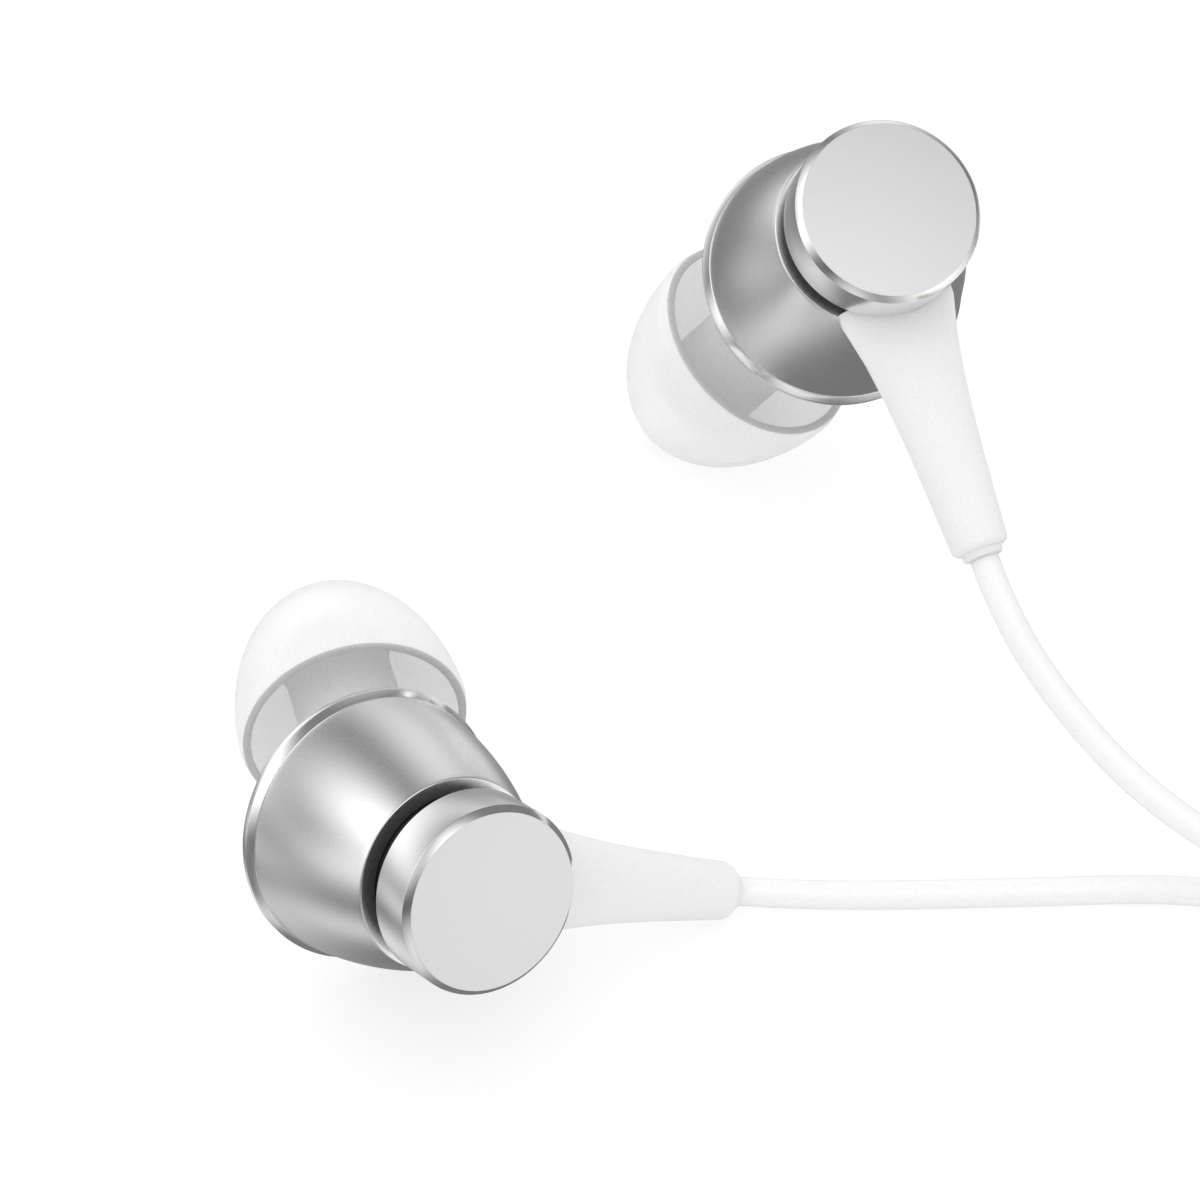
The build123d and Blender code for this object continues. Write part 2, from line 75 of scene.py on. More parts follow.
# Distance from the cap's axis, half width, half height and depth of the cord relief's sections.
RELIEF_SECTIONS = [
    (3.7, 3.10, 1.45, 4.05), (4.3, 3.10, 1.45, 4.05), (6.5, 2.55, 1.43, 4.15), (8.5, 2.22, 1.42, 4.25),
    (10.5, 1.98, 1.42, 4.34), (12.5, 1.80, 1.42, 4.42), (15.0, 1.62, 1.42, 4.50), (16.9, 1.49, 1.42, 4.57),
]
RELIEF_STEPS = 6
RELIEF_SQUARENESS = 2.2  # 2 is an ellipse
RELIEF_END = 17.3
COLLAR = [(17.3, 1.08), (17.6, 1.02), (17.7, 0.92)]  # distance from the cap's axis, radius

# Cords, in metres.
EAR_CORD = 0.0015
MAIN_CORD = 0.0018
EAR_COIL = {"centre": (0.050, -0.008), "radii": (0.0105, 0.009, 0.0075), "turns": 5.25, "start": -90}
MAIN_COIL = {"centre": (0.0479, 0.0335), "radii": (0.0126, 0.0108, 0.009), "turns": 11.5, "start": 0}
RIGHT_LAYERS = (0.00115, 0.00265)
LEFT_LAYERS = (0.00565, 0.00415)
MAIN_LAYERS = (0.0013, 0.0031, 0.0049, 0.0067)
COIL_POINTS = 16  # control points of each turn
CROSSOVER = 0.18  # share of a turn in which the cord moves over to its next place

RIGHT_ROUTE = [
    (0.00574, -0.01296, 0.00119), (0.00619, -0.01282, 0.0009), (0.00685, -0.01276, 0.00075),
    (0.0080, -0.01284, 0.00075), (0.0102, -0.01293, 0.00075), (0.0144, -0.01295, 0.00075),
    (0.0215, -0.01275, 0.00075), (0.0295, -0.0125, 0.00078), (0.0376, -0.0143, 0.0009),
    (0.0440, -0.0173, 0.0011),
]
RIGHT_TAIL = [
    (0.0605, -0.0055, 0.00265), (0.0603, -0.0043, 0.0026), (0.0596, -0.0017, 0.00255),
    (0.05925, 0.0010, 0.0025),
]
LEFT_ROUTE = [
    (0.01849, -0.00011, 0.01248), (0.01945, -0.00255, 0.0112), (0.0219, -0.0059, 0.0089),
    (0.0262, -0.0103, 0.0066), (0.0316, -0.0141, 0.0056), (0.0378, -0.0166, 0.00565),
    (0.0440, -0.0181, 0.00565),
]
LEFT_TAIL = [
    (0.0605, -0.0062, 0.00415), (0.0608, -0.0042, 0.0042), (0.0617, -0.0016, 0.0033),
    (0.06175, 0.0010, 0.0025),
]
MAIN_ROUTE = [(0.0605, 0.0260, 0.0025), (0.0605, 0.0280, 0.00235), (0.0605, 0.0310, 0.00155)]
MAIN_TAIL = [
    (0.0353, 0.0320, 0.0067), (0.0358, 0.0265, 0.0068), (0.0382, 0.0206, 0.0071), (0.0420, 0.0160, 0.0079),
    (0.0445, 0.0119, 0.0087), (0.0450, 0.0074, 0.0089),
]

# The view of the photo, in metres; the lens and the sensor in mm.
CAMERA_PLACE = (-0.001, -0.12242, 0.17966)
CAMERA_TARGET = (-0.001, -0.006, 0.01704)
LENS, SENSOR = 122.4, 36

# Soft boxes of the tent: azimuth from +X towards +Y, elevation, reach across and up, all in degrees, and
# strength. A negative one is a dark flag.
SOFT_BOXES = [
    (-178, 46, (62, 36), 1.75),
    (-162, 8, (24, 30), 0.95),
    (136, -2, (56, 20), 1.10),
    (172, -24, (32, 16), 0.50),
    (-142, -42, (40, 20), 0.55),
    (146, -60, (60, 20), 0.60),
    (80, 14, (30, 52), 0.75),
    (68, -24, (24, 16), 0.60),
    (-46, 62, (42, 40), 1.70),
    (-104, -14, (28, 46), 0.65),
    (-30, -5, (60, 50), 1.10),
    (-124, 30, (26, 28), -0.28),
]
TENT_GLOW = 0.20  # what gloss mirrors between the boxes
TENT_WHITE = 0.92  # what the rest of the light comes from, the same all round
WIDE_BOX = {"place": (-0.10, 0.12, 0.60), "target": (0.0, 0.0, 0.01), "size": (0.9, 0.9), "power": 1.6}
FLOOR_HALF = 2.0


# --- Camera and light ------------------------------------------------------------------------
def aim(obj, place, target):
    """Puts an object at a place, looking at a target, with the horizon level."""
    obj.location = place
    obj.rotation_mode = "QUATERNION"
    obj.rotation_quaternion = (Vector(target) - Vector(place)).to_track_quat("-Z", "Y")


def make_camera():
    data = bpy.data.cameras.new("camera")
    data.lens = LENS
    data.sensor_width = SENSOR
    data.clip_start = 0.01
    camera = bpy.data.objects.new("camera", data)
    bpy.context.scene.collection.objects.link(camera)
    aim(camera, CAMERA_PLACE, CAMERA_TARGET)
    bpy.context.scene.camera = camera


def area_light(name, place, target, size, power):
    data = bpy.data.lights.new(name, "AREA")
    data.shape = "RECTANGLE"
    data.size, data.size_y = size
    data.energy = power
    light = bpy.data.objects.new(name, data)
    bpy.context.scene.collection.objects.link(light)
    aim(light, place, target)
    return light


def soft_box(tree, direction, azimuth, elevation, reach, strength):
    """The light that a soft-edged box of the tent gives, brightest at its middle and gone at its reach."""
    turn, lift = radians(azimuth), radians(elevation)
    middle = (cos(lift) * cos(turn), cos(lift) * sin(turn), sin(lift))
    across, up = radians(reach[0]), radians(reach[1])
    place = node(tree, "ShaderNodeMapping", vector_type="TEXTURE", Location=middle,
                 Rotation=(0, -lift, turn), Scale=(1, across, up))
    falloff = node(tree, "ShaderNodeTexGradient", gradient_type="SPHERICAL")
    glow = node(tree, "ShaderNodeMapRange", interpolation_type="SMOOTHSTEP")
    glow.inputs["To Max"].default_value = strength
    tree.links.new(direction, place.inputs["Vector"])
    tree.links.new(place.outputs["Vector"], falloff.inputs["Vector"])
    tree.links.new(falloff.outputs["Fac"], glow.inputs["Value"])
    return glow.outputs["Result"]


def tent_light(tree):
    """The tent's glow and the light of all its boxes, by direction."""
    direction = node(tree, "ShaderNodeTexCoord").outputs["Generated"]
    total = None
    for box in SOFT_BOXES:
        add = node(tree, "ShaderNodeMath", operation="ADD")
        tree.links.new(soft_box(tree, direction, *box), add.inputs[0])
        if total is None:
            add.inputs[1].default_value = TENT_GLOW
        else:
            tree.links.new(total, add.inputs[1])
        total = add.outputs[0]
    return total


def make_studio():
    """A tent that is white all round, in which gloss mirrors soft boxes on a dim ground, and a wide light."""
    world = bpy.data.worlds.new("tent")
    bpy.context.scene.world = world
    world.use_nodes = True
    tree = world.node_tree
    mirrored = node(tree, "ShaderNodeMix", data_type="FLOAT")
    mirrored.inputs["A"].default_value = TENT_WHITE
    tree.links.new(node(tree, "ShaderNodeLightPath").outputs["Is Glossy Ray"], mirrored.inputs["Factor"])
    tree.links.new(tent_light(tree), mirrored.inputs["B"])
    background = tree.nodes["Background"]
    background.inputs["Color"].default_value = (1, 1, 1, 1)
    tree.links.new(mirrored.outputs["Result"], background.inputs["Strength"])
    wide = area_light("wide_box", **WIDE_BOX)
    wide.visible_glossy = False
    view = bpy.context.scene.view_settings
    view.view_transform = "Standard"
    view.look = "None"


def make_floor():
    """White paper that gloss doesn't mirror."""
    half = FLOOR_HALF
    corners = [(-half, -half, 0), (half, -half, 0), (half, half, 0), (-half, half, 0)]
    mesh = bpy.data.meshes.new("floor")
    mesh.from_pydata(corners, [], [(0, 1, 2, 3)])
    paper = bpy.data.objects.new("floor", mesh)
    bpy.context.scene.collection.objects.link(paper)
    mesh.materials.append(floor_material())
    paper.visible_glossy = False


# --- Materials --------------------------------------------------------------------------------
def principled(name, **values):
    """A new material with its shader's sockets set, given with _ for spaces."""
    material = bpy.data.materials.new(name)
    material.use_nodes = True
    shader = material.node_tree.nodes["Principled BSDF"]
    for socket, value in values.items():
        shader.inputs[socket.replace("_", " ")].default_value = value
    return material, material.node_tree, shader


def node(tree, kind, **values):
    """A new node; values set its sockets, or its properties where no socket has that name."""
    made = tree.nodes.new(kind)
    for key, value in values.items():
        if key in made.inputs:
            made.inputs[key].default_value = value
        else:
            setattr(made, key, value)
    return made


def noise_field(tree, scale):
    """Noise in the piece's own coordinates; scale is in cells per metre."""
    coordinates = node(tree, "ShaderNodeTexCoord")
    field = node(tree, "ShaderNodeTexNoise", Scale=scale, Detail=3.0)
    tree.links.new(coordinates.outputs["Object"], field.inputs["Vector"])
    return field.outputs["Fac"]


def spread_over(tree, field, low, high):
    """Maps a noise field, which stays near its middle, onto a range of values."""
    ramp = node(tree, "ShaderNodeMapRange")
    for socket, value in zip(("From Min", "From Max", "To Min", "To Max"), (0.3, 0.7, low, high)):
        ramp.inputs[socket].default_value = value
    tree.links.new(field, ramp.inputs["Value"])
    return ramp.outputs["Result"]


def add_bump(tree, shader, field, depth):
    """Bumps as deep as the field says, up to a depth in microns."""
    bump = node(tree, "ShaderNodeBump", Strength=1.0, Distance=depth * MICRON)
    tree.links.new(field, bump.inputs["Height"])
    tree.links.new(bump.outputs["Normal"], shader.inputs["Normal"])


def tint(tree, shader, field, dark, light):
    """Colour that drifts between two tones with a field."""
    mix = node(tree, "ShaderNodeMix", data_type="RGBA")
    mix.inputs["A"].default_value = (*dark, 1)
    mix.inputs["B"].default_value = (*light, 1)
    tree.links.new(spread_over(tree, field, 0, 1), mix.inputs["Factor"])
    tree.links.new(mix.outputs["Result"], shader.inputs["Base Color"])


def grained(name, dark, light, rough, grain, depth, **values):
    """A finish with a fine grain: the grain shifts the colour and the roughness a little, and bumps."""
    material, tree, shader = principled(name, **values)
    field = noise_field(tree, grain)
    tint(tree, shader, field, dark, light)
    tree.links.new(spread_over(tree, field, *rough), shader.inputs["Roughness"])
    add_bump(tree, shader, field, depth)
    return material


def grey(value):
    return (value, value, value)


def floor_material():
    """White paper lit from below too, so that shadows on it stay faint."""
    material, tree, shader = principled("floor_paper", Roughness=1.0, Emission_Color=(1, 1, 1, 1),
                                        Emission_Strength=0.62)
    tint(tree, shader, noise_field(tree, 3000), grey(0.40), grey(0.42))
    return material


def turned_metal(name, tone, rough, pitch, depth):
    """Metal with fine marks of turning round the piece's own axis."""
    material, tree, shader = principled(name, Metallic=1.0)
    coordinates = node(tree, "ShaderNodeTexCoord")
    stretch = node(tree, "ShaderNodeMapping")
    stretch.inputs["Scale"].default_value = (0.02, 0.02, 1.0)  # long along the turning, short across it
    marks = node(tree, "ShaderNodeTexNoise", Scale=1 / (pitch * MICRON), Detail=2.0)
    tree.links.new(coordinates.outputs["Object"], stretch.inputs["Vector"])
    tree.links.new(stretch.outputs["Vector"], marks.inputs["Vector"])
    tint(tree, shader, marks.outputs["Fac"], [0.96 * part for part in tone], tone)
    tree.links.new(spread_over(tree, marks.outputs["Fac"], *rough), shader.inputs["Roughness"])
    add_bump(tree, shader, marks.outputs["Fac"], depth)
    return material


def soft_plastic(name, dark, light, rough, grain, depth, scatter, reach, **values):
    """A grained finish that light enters; scatter is the share that does, and reach how far, in mm."""
    return grained(name, dark, light, rough, grain, depth, Subsurface_Weight=scatter,
                   Subsurface_Radius=(reach * MM, reach * MM, reach * MM), Subsurface_Scale=1.0, **values)


def make_materials():
    """Every finish by its short name.

    Each has its tones and its range of roughness. Then come the cells of grain in a metre, or the pitch of
    the turning marks in microns, and the depth of the bump in microns."""
    return {
        "bell": grained("blasted_aluminium", grey(0.81), grey(0.85), (0.27, 0.31), 9000, 1, Metallic=1.0),
        "face": grained("sanded_aluminium", grey(0.78), grey(0.84), (0.42, 0.50), 12000, 6, Metallic=1.0),
        "side": turned_metal("satin_aluminium", grey(0.93), (0.18, 0.24), 60, 1),
        "polished": turned_metal("polished_aluminium", grey(0.95), (0.13, 0.17), 100, 0.2),
        "liner": grained("dark_plastic", grey(0.012), grey(0.020), (0.5, 0.6), 9000, 4,
                         Specular_IOR_Level=0.2),
        "white": soft_plastic("white_plastic", grey(0.84), grey(0.88), (0.40, 0.48), 7000, 3, 0.15, 1.0),
        "relief": soft_plastic("white_elastomer", grey(0.80), grey(0.85), (0.50, 0.58), 8000, 6, 0.25, 1.2),
        "cord": soft_plastic("cord_jacket", grey(0.86), grey(0.90), (0.34, 0.42), 5000, 4, 0.25, 0.8),
        # The silicone's faint white emission is painted light: a glow that stands in for light scattered
        # inside the tip.
        "silicone": soft_plastic("clear_silicone", grey(0.86), grey(0.92), (0.34, 0.42), 6000, 4, 0.3, 1.0,
                                 Alpha=0.66, Emission_Color=(1, 1, 1, 1), Emission_Strength=0.07),
        "tip_core": grained("grey_silicone", grey(0.66), grey(0.72), (0.34, 0.42), 6000, 4),
        "tip_rim": grained("silicone_rim", grey(0.46), grey(0.52), (0.30, 0.38), 6000, 3),
        "mesh": grained("screen_wire", grey(0.50), grey(0.62), (0.25, 0.35), 9000, 2, Metallic=1.0),
        "black": grained("black_plastic", grey(0.015), grey(0.025), (0.4, 0.5), 6000, 3),
        "gold": turned_metal("gold_plate", (0.92, 0.79, 0.52), (0.12, 0.18), 100, 0.4),
        "steel": grained("plated_steel", grey(0.52), grey(0.62), (0.25, 0.35), 5000, 3, Metallic=1.0),
        "copper": turned_metal("wound_copper", (0.86, 0.46, 0.30), (0.25, 0.32), 80, 6),
        "film": grained("clear_film", (0.62, 0.60, 0.55), (0.70, 0.68, 0.62), (0.15, 0.25), 3000, 3),
        "paper": grained("tie_paper", grey(0.78), grey(0.86), (0.75, 0.9), 4000, 12),
        "board": grained("circuit_board", (0.02, 0.13, 0.06), (0.04, 0.18, 0.09), (0.3, 0.4), 2500, 6),
    }


# --- Mesh helpers ------------------------------------------------------------------------------
def new_object(name, mesh, place, materials):
    piece = bpy.data.objects.new(name, mesh)
    bpy.context.scene.collection.objects.link(piece)
    piece.matrix_world = place
    for material in materials:
        mesh.materials.append(material)
    return piece


def finish_mesh(name, bm, place, materials, sharp=40):
    """Turns a bmesh into a smooth-shaded object whose flat faces stay flat."""
    bmesh.ops.recalc_face_normals(bm, faces=bm.faces)
    mesh = bpy.data.meshes.new(name)
    bm.to_mesh(mesh)
    bm.free()
    mesh.shade_smooth()
    mesh.set_sharp_from_angle(angle=radians(sharp))
    piece = new_object(name, mesh, place, materials)
    weighted = piece.modifiers.new("weighted_normals", "WEIGHTED_NORMAL")
    weighted.keep_sharp = True
    return piece


def arc_through(first, middle, last, steps):
    """Points from first to last along the circle through all three, in mm."""
    (ax, ay), (bx, by), (cx, cy) = first, middle, last
    d = 2 * (ax * (by - cy) + bx * (cy - ay) + cx * (ay - by))
    a2, b2, c2 = ax * ax + ay * ay, bx * bx + by * by, cx * cx + cy * cy
    ux = (a2 * (by - cy) + b2 * (cy - ay) + c2 * (ay - by)) / d
    uy = (a2 * (cx - bx) + b2 * (ax - cx) + c2 * (bx - ax)) / d
    start = atan2(ay - uy, ax - ux)
    sweep = (atan2(cy - uy, cx - ux) - start + pi) % (2 * pi) - pi
    radius = sqrt((ax - ux) ** 2 + (ay - uy) ** 2)
    angles = [start + sweep * i / steps for i in range(steps + 1)]
    return [(ux + radius * cos(t), uy + radius * sin(t)) for t in angles]


def round_corner(before, corner, after, radius, steps=4):
    """The points that replace a corner by a curve tangent to both its sides."""
    before, corner, after = Vector(before), Vector(corner), Vector(after)
    back, ahead = before - corner, after - corner
    reach = min(radius / tan(back.angle(ahead) / 2), 0.48 * min(back.length, ahead.length))
    start, end = corner + back.normalized() * reach, corner + ahead.normalized() * reach
    shares = [i / steps for i in range(steps + 1)]
    return [tuple((1 - t) ** 2 * start + 2 * t * (1 - t) * corner + t * t * end) for t in shares]


def eased(outline, radius):
    """A closed outline with every corner off the axis that turns sharply rounded; radius in mm."""
    result = []
    for i, corner in enumerate(outline):
        before, after = outline[i - 1], outline[(i + 1) % len(outline)]
        bend = (Vector(corner) - Vector(before)).angle(Vector(after) - Vector(corner))
        if corner[0] < ON_AXIS or bend < radians(20):
            result.append(corner)
        else:
            result.extend(round_corner(before, corner, after, radius))
    return result


def turned_ring(bm, r, z, segments):
    """The points of a circle about Z, or the one point where it meets the axis."""
    if r < ON_AXIS:
        return [bm.verts.new((0, 0, z * MM))]
    turns = [2 * pi * i / segments for i in range(segments)]
    return [bm.verts.new((r * MM * cos(t), r * MM * sin(t), z * MM)) for t in turns]


def join_rings(bm, ring, following, finish=0):
    """The faces between two rings, of which one may be a single point."""
    count = max(len(ring), len(following))
    for i in range(count):
        j = (i + 1) % count
        if len(ring) == 1:
            corners = [ring[0], following[j], following[i]]
        elif len(following) == 1:
            corners = [ring[i], ring[j], following[0]]
        else:
            corners = [ring[i], ring[j], following[j], following[i]]
        bm.faces.new(corners).material_index = finish


def lathe(name, outline, place, materials, body, segments=128, pick=None, sharp=40):
    """A solid of revolution about the piece's Z from a closed outline of (radius, height) in mm.

    pick(radius, height) gives the material index of a band by its middle."""
    bm = bmesh.new()
    rings = [turned_ring(bm, r, z, segments) for r, z in outline]
    for index, ring in enumerate(rings):
        following = (index + 1) % len(rings)
        if len(ring) == 1 and len(rings[following]) == 1:
            continue
        (r0, z0), (r1, z1) = outline[index], outline[following]
        finish = pick((r0 + r1) / 2, (z0 + z1) / 2) if pick else 0
        join_rings(bm, ring, rings[following], finish)
    piece = finish_mesh(name, bm, place, materials, sharp)
    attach(piece, body)
    return piece


def skin(bm, rings):
    """A closed skin over rings of points with the same count, its ends filled."""
    made = [[bm.verts.new(point) for point in ring] for ring in rings]
    for ring, following in zip(made, made[1:]):
        join_rings(bm, ring, following)
    bm.faces.new(made[0])
    bm.faces.new(made[-1])


# --- Earpiece -----------------------------------------------------------------------------------
def earpiece_place(lie):
    """The earpiece's own frame: origin at the cap's centre, Z out of the cap, X along the cord relief."""
    lean, heading, cord = radians(lie["lean"]), radians(lie["heading"]), radians(lie["cord"])
    z = Vector((sin(lean) * cos(heading), sin(lean) * sin(heading), cos(lean)))
    slope = atan2(-(z.x * cos(cord) + z.y * sin(cord)), z.z)
    x = Vector((cos(cord) * cos(slope), sin(cord) * cos(slope), sin(slope)))
    turned = Matrix((x, z.cross(x), z)).transposed().to_4x4()
    return Matrix.Translation(Vector(lie["cap"]) * MM) @ turned


def nozzle_place(place, side):
    """The nozzle's frame: origin at its pivot, Z along the nozzle away from the cap."""
    lean, turn = radians(NOZZLE_LEAN), radians(NOZZLE_TURN) * side
    z = Vector((sin(lean) * cos(turn), sin(lean) * sin(turn), -cos(lean)))
    x = Vector((cos(turn), sin(turn), tan(lean))).normalized()
    turned = Matrix((x, z.cross(x), z)).transposed().to_4x4()
    return place @ Matrix.Translation((0, 0, -PIVOT * MM)) @ turned


def make_cap(hand, place, look):
    """The cap, in one metal with three finishes: the face, its bevel and the side."""
    inner = LINER_R + PART_GAP
    outline = [(0, 0), (CAP_R - CAP_CHAMFER, 0), (CAP_R, -CAP_CHAMFER), (CAP_R, -CAP_DEPTH),
               (inner, -CAP_DEPTH), (inner, -CAP_TOP), (0, -CAP_TOP)]

    def finish_of(r, z):
        if z > -0.02:
            return 0
        return 1 if z > -CAP_CHAMFER - 0.02 else 2

    finishes = [look["face"], look["polished"], look["side"]]
    cap = lathe(f"{hand}_cap_metal", eased(outline, 0.035), place, finishes, "headset", 160, finish_of, 60)
    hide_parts(f"{hand}_cap")


def make_liner(hand, place, look):
    """The dark sleeve at the bottom of the groove between the cap and the bell."""
    inner = LINER_R - LINER_WALL
    outline = [(LINER_R, -LINER_TOP), (LINER_R, -LINER_BOTTOM), (inner, -LINER_BOTTOM), (inner, -LINER_TOP)]
    liner = lathe(f"{hand}_groove_sleeve", eased(outline, 0.1), place, [look["liner"]], "headset", 96)
    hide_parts(f"{hand}_groove_liner")


def make_bell(hand, place, look):
    """The flared housing, as a shell with a curved wall."""
    inner_top = -BELL_TOP - BELL_WALL
    outside = arc_through((BELL_TOP_R, -BELL_TOP), (BELL_MID_R, -BELL_MID), (BELL_BOTTOM_R, -BELL_BOTTOM), 24)
    inside = arc_through((BELL_BOTTOM_R - BELL_WALL, -BELL_BOTTOM), (BELL_MID_R - BELL_WALL, -BELL_MID),
                         (BELL_TOP_R - BELL_WALL, inner_top), 12)
    mouth = LINER_R + PART_GAP
    outline = outside + inside + [(mouth, inner_top), (mouth, -BELL_TOP)]
    bell = lathe(f"{hand}_bell_metal", eased(outline, 0.10), place, [look["bell"]], "headset", 192)
    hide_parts(f"{hand}_bell")


def make_trim_ring(hand, place, look):
    """The polished ring on the bell's front edge, bevelled towards the cap."""
    outline = [(BELL_BOTTOM_R, -BELL_BOTTOM), (RING_R, -BELL_BOTTOM - RING_CHAMFER),
               (RING_R - 0.03, -RING_BOTTOM), (RING_HOLE_R, -RING_BOTTOM), (RING_HOLE_R, -BELL_BOTTOM)]
    ring = lathe(f"{hand}_trim_metal", eased(outline, 0.05), place, [look["polished"]], "headset", 192)
    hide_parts(f"{hand}_trim_ring")


def make_cover(hand, place, look):
    """The front cover: a shallow spherical dome with a rim that goes into the ring."""
    edge, apex = RING_R - COVER_STEP, -COVER_APEX
    rise = COVER_APEX - RING_BOTTOM
    sphere_r = (edge**2 + rise**2) / (2 * rise)
    shoulder = (edge / 2, apex + sphere_r - sqrt(sphere_r**2 - edge**2 / 4))
    inner, rim = DRIVER_R + 0.2, RING_HOLE_R - PART_GAP
    outline = arc_through((edge, -RING_BOTTOM), shoulder, (0, apex), 20)
    outline += [(0, apex + COVER_WALL), (inner, -RING_BOTTOM - 0.05), (inner, -PIVOT), (rim, -PIVOT),
                (rim, -RING_BOTTOM)]
    cover = lathe(f"{hand}_front_dome", eased(outline, 0.06), place, [look["white"]], "headset", 128)
    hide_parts(f"{hand}_nozzle_cover")


def make_stem(hand, nozzle, look):
    """The neck and the barbed sound tube that the tip sits on, with a seat for the screen."""
    barb, seat = NOZZLE_END - BARB_LENGTH, NOZZLE_END - SCREEN_SEAT
    mouth = SCREEN_R + PART_GAP
    outline = [(NECK_R, NECK_START), (NECK_R, NECK_END), (NOZZLE_R, NECK_END), (NOZZLE_R, barb),
               (BARB_R, barb), (BARB_R, NOZZLE_END - BARB_TAPER), (BARB_R - 0.3, NOZZLE_END),
               (mouth, NOZZLE_END), (mouth, seat), (NOZZLE_BORE_R, seat), (NOZZLE_BORE_R, NECK_START)]
    stem = lathe(f"{hand}_nozzle_tube", eased(outline, 0.08), nozzle, [look["white"]], "headset", 96)
    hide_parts(f"{hand}_nozzle_cover")


def wire_rings(offset, flip, height, lengthwise):
    """The rings of points round one wire of the screen, which waves over and under the wires across it."""
    half = sqrt(SCREEN_R**2 - offset**2)
    steps = max(4, int(2 * half / WIRE_PITCH) * 4)
    turns = [2 * pi * i / 6 for i in range(6)]
    rings = []
    for i in range(steps + 1):
        along = -half + 2 * half * i / steps
        middle = height + WIRE_WAVE * cos(pi * along / WIRE_PITCH + pi * flip)
        ring = [(along, offset + WIRE_R * cos(t), middle + WIRE_R * sin(t)) for t in turns]
        if not lengthwise:
            ring = [(y, x, z) for x, y, z in ring]
        rings.append([Vector(point) * MM for point in ring])
    return rings


def make_screen(hand, nozzle, look):
    """Woven wire screen: two layers of fine wires that cross over and under each other."""
    bm = bmesh.new()
    count = int(SCREEN_R / WIRE_PITCH)
    for layer in (0, 1):
        for k in range(-count, count + 1):
            skin(bm, wire_rings(k * WIRE_PITCH, k % 2 + layer, NOZZLE_END - SCREEN_SEAT / 2, layer == 0))
    screen = finish_mesh(f"{hand}_woven_screen", bm, nozzle, [look["mesh"]])
    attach(screen, "headset")
    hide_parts(f"{hand}_nozzle_screen")


def tip_dome(steps=30):
    """The outside of the ear tip from its rim to its sound mouth, along an ellipse."""
    mouth = TIP_DOME_LENGTH * sqrt(1 - (TIP_MOUTH_R / TIP_DOME_R) ** 2)
    first = atan2(TIP_DOME_START - TIP_DOME_CENTRE, TIP_DOME_LENGTH)
    last = atan2(mouth / TIP_DOME_LENGTH, TIP_MOUTH_R / TIP_DOME_R)
    turns = [first + (last - first) * i / steps for i in range(steps + 1)]
    return [(TIP_DOME_R * cos(t), TIP_DOME_CENTRE + TIP_DOME_LENGTH * sin(t)) for t in turns]


def make_ear_tip(hand, nozzle, look):
    """The soft tip: core, domed cap with its sound mouth, and a thin skirt with a rounded rim."""
    core_end = NECK_END + PART_GAP
    core_top = (TIP_CORE_R, TIP_BORE_END - 0.3)
    skirt = arc_through(core_top, TIP_INSIDE, (TIP_RIM_R - TIP_RIM_WALL, TIP_RIM), 20)
    outline = [(TIP_BORE_R, core_end), (TIP_CORE_R, core_end)] + skirt + [(TIP_RIM_R, TIP_RIM)]
    outline += tip_dome() + [(TIP_MOUTH_R, TIP_BORE_END), (TIP_BORE_R, TIP_BORE_END)]

    def finish_of(r, z):
        if z < TIP_RIM + 0.12 and r > TIP_CORE_R + 0.5:
            return 2
        return 1 if r < TIP_CORE_R + 0.15 and z < TIP_BORE_END - 0.2 else 0

    finishes = [look["silicone"], look["tip_core"], look["tip_rim"]]
    tip = lathe(f"{hand}_soft_tip", eased(outline, 0.16), nozzle, finishes, f"{hand}_tip", 128, finish_of)
    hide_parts(f"{hand}_ear_tip")


def squared(value):
    """A sine or cosine bent so that an oval's sides are a little straighter."""
    return copysign(abs(value) ** (2 / RELIEF_SQUARENESS), value)


def oval(x, half_width, half_height, depth, count=48):
    """A ring of points of a slightly squared oval section across the relief, in metres."""
    ring = []
    for i in range(count):
        turn = 2 * pi * i / count
        across, up = half_width * squared(cos(turn)), half_height * squared(sin(turn))
        ring.append(Vector((x, across, up - depth)) * MM)
    return ring


def make_relief(hand, place, look):
    """The soft relief: a flared root in the groove, a long taper, a rounded end and a small collar."""
    rings = []
    for low, high in zip(RELIEF_SECTIONS, RELIEF_SECTIONS[1:]):
        for i in range(RELIEF_STEPS):
            rings.append(oval(*[a + (b - a) * i / RELIEF_STEPS for a, b in zip(low, high)]))
    x, half_width, half_height, depth = RELIEF_SECTIONS[-1]
    rounding = RELIEF_END - x
    for i in range(RELIEF_STEPS):
        turn = i / (RELIEF_STEPS - 1) * pi / 2
        inset = rounding * (1 - cos(turn))
        rings.append(oval(x + rounding * sin(turn), half_width - inset, half_height - inset, depth))
    for distance, r in COLLAR:
        rings.append(oval(distance, r, r, depth + 0.02))
    bm = bmesh.new()
    skin(bm, rings)
    relief = finish_mesh(f"{hand}_soft_relief", bm, place, [look["relief"]], 50)
    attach(relief, "headset")
    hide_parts(f"{hand}_cord_relief")


def make_earpiece(hand, look):
    lie = LIES[hand]
    place = earpiece_place(lie)
    nozzle = nozzle_place(place, lie["turn"])
    make_cap(hand, place, look)
    make_liner(hand, place, look)
    make_bell(hand, place, look)
    make_trim_ring(hand, place, look)
    make_cover(hand, place, look)
    make_stem(hand, nozzle, look)
    make_screen(hand, nozzle, look)
    make_ear_tip(hand, nozzle, look)
    make_relief(hand, place, look)


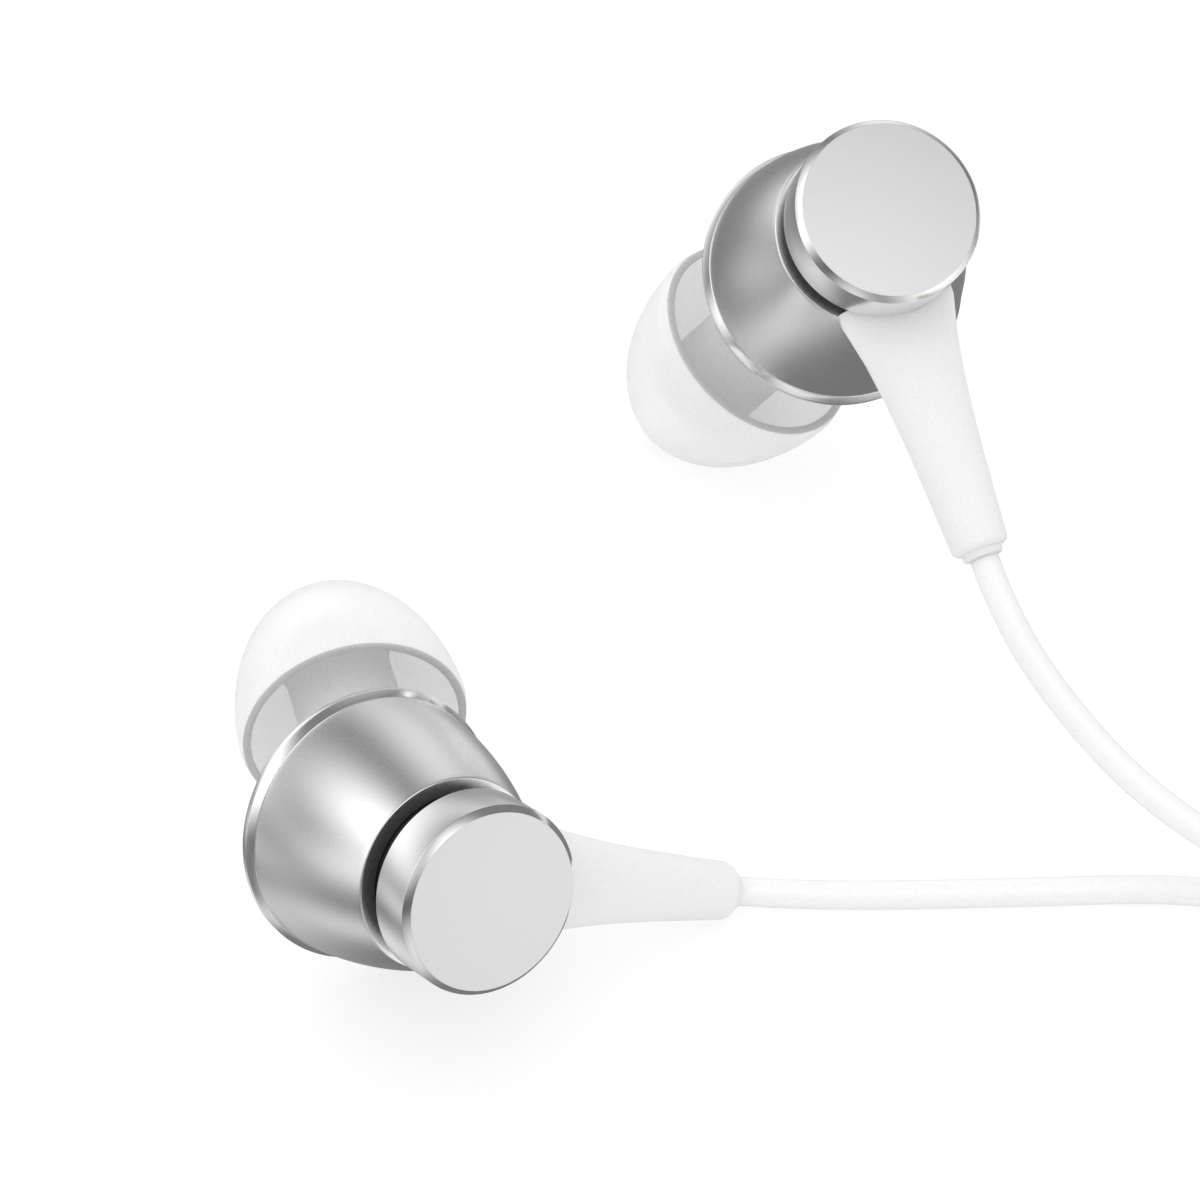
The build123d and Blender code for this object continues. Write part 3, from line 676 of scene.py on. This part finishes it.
# --- Cords ---------------------------------------------------------------------------------------
def coil_points(coil, layers):
    """Control points of a wound coil: across each layer and back, moving over within a share of each turn."""
    places = []
    for level, height in enumerate(layers):
        row = coil["radii"] if level % 2 == 0 else coil["radii"][::-1]
        places += [(radius, height) for radius in row]
    outward = 1 / cos(pi / COIL_POINTS)  # the curve runs inside its control points
    points = []
    for i in range(round(coil["turns"] * COIL_POINTS) + 1):
        turn = i / COIL_POINTS
        index = min(floor(turn), len(places) - 1)
        following = min(index + 1, len(places) - 1)
        share = min(max((turn - index - 1 + CROSSOVER) / CROSSOVER, 0), 1)
        share = share * share * (3 - 2 * share)
        radius, height = [a + (b - a) * share for a, b in zip(places[index], places[following])]
        angle = radians(coil["start"]) + 2 * pi * turn
        x = coil["centre"][0] + radius * outward * cos(angle)
        y = coil["centre"][1] + radius * outward * sin(angle)
        points.append((x, y, height))
    return points


def nurbs_cord(name, diameter, points, material):
    """One open NURBS line with these control points, as thick as the cord."""
    curve = bpy.data.curves.new(name, "CURVE")
    curve.dimensions = "3D"
    spline = curve.splines.new("NURBS")
    spline.points.add(len(points) - 1)
    for point, place in zip(spline.points, points):
        point.co = (*place, 1)
    spline.order_u = 3
    spline.use_endpoint_u = True
    curve.resolution_u = 6
    curve.bevel_depth = diameter / 2
    curve.bevel_resolution = 6
    curve.use_fill_caps = True
    cord = bpy.data.objects.new(name, curve)
    bpy.context.scene.collection.objects.link(cord)
    curve.materials.append(material)
    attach(cord, "headset")
    return cord


def make_cords(look):
    """The two ear cords and the main cord."""
    jacket = look["cord"]

    points = RIGHT_ROUTE + coil_points(EAR_COIL, RIGHT_LAYERS) + RIGHT_TAIL
    right = nurbs_cord("right_ear_cord", EAR_CORD, points, jacket)
    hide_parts("right_cord", "right_coil", "right_cord_tail")

    points = LEFT_ROUTE + coil_points(EAR_COIL, LEFT_LAYERS) + LEFT_TAIL
    left = nurbs_cord("left_ear_cord", EAR_CORD, points, jacket)
    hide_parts("left_cord", "left_coil", "left_cord_tail")

    points = MAIN_ROUTE + coil_points(MAIN_COIL, MAIN_LAYERS) + MAIN_TAIL
    main = nurbs_cord("main_lead", MAIN_CORD, points, jacket)
    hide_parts("main_cord", "main_coil", "main_cord_tail")


def dress_frame_nodes(look):
    """Gives every CAD node that stays its own finish."""
    finishes = {
        "driver_frame": "black", "yoke": "steel", "magnet": "steel", "pole_plate": "steel",
        "voice_coil": "copper", "diaphragm": "film", "rear_damper": "paper", "terminal_board": "board",
        "junction_top": "white", "junction_bottom": "white", "junction_button": "white",
        "junction_board": "board", "button_switch": "steel", "microphone": "steel",
        "ear_cord_gland": "relief", "main_cord_gland": "relief",
        "plug_body": "bell", "plug_relief": "relief", "plug_barrel": "gold", "plug_rear_band": "gold",
        "plug_front_band": "gold", "plug_tip": "gold", "plug_insulators": "black", "plug_core": "black",
        "ear_coil_tie": "paper", "main_coil_tie": "paper",
    }
    for name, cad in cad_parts.items():
        plain = name.replace("right_", "").replace("left_", "")
        if plain in finishes:
            cad.data.materials.clear()
            cad.data.materials.append(look[finishes[plain]])


make_camera()
make_studio()
make_floor()
materials = make_materials()
make_cords(materials)
for hand in LIES:
    make_earpiece(hand, materials)
dress_frame_nodes(materials)
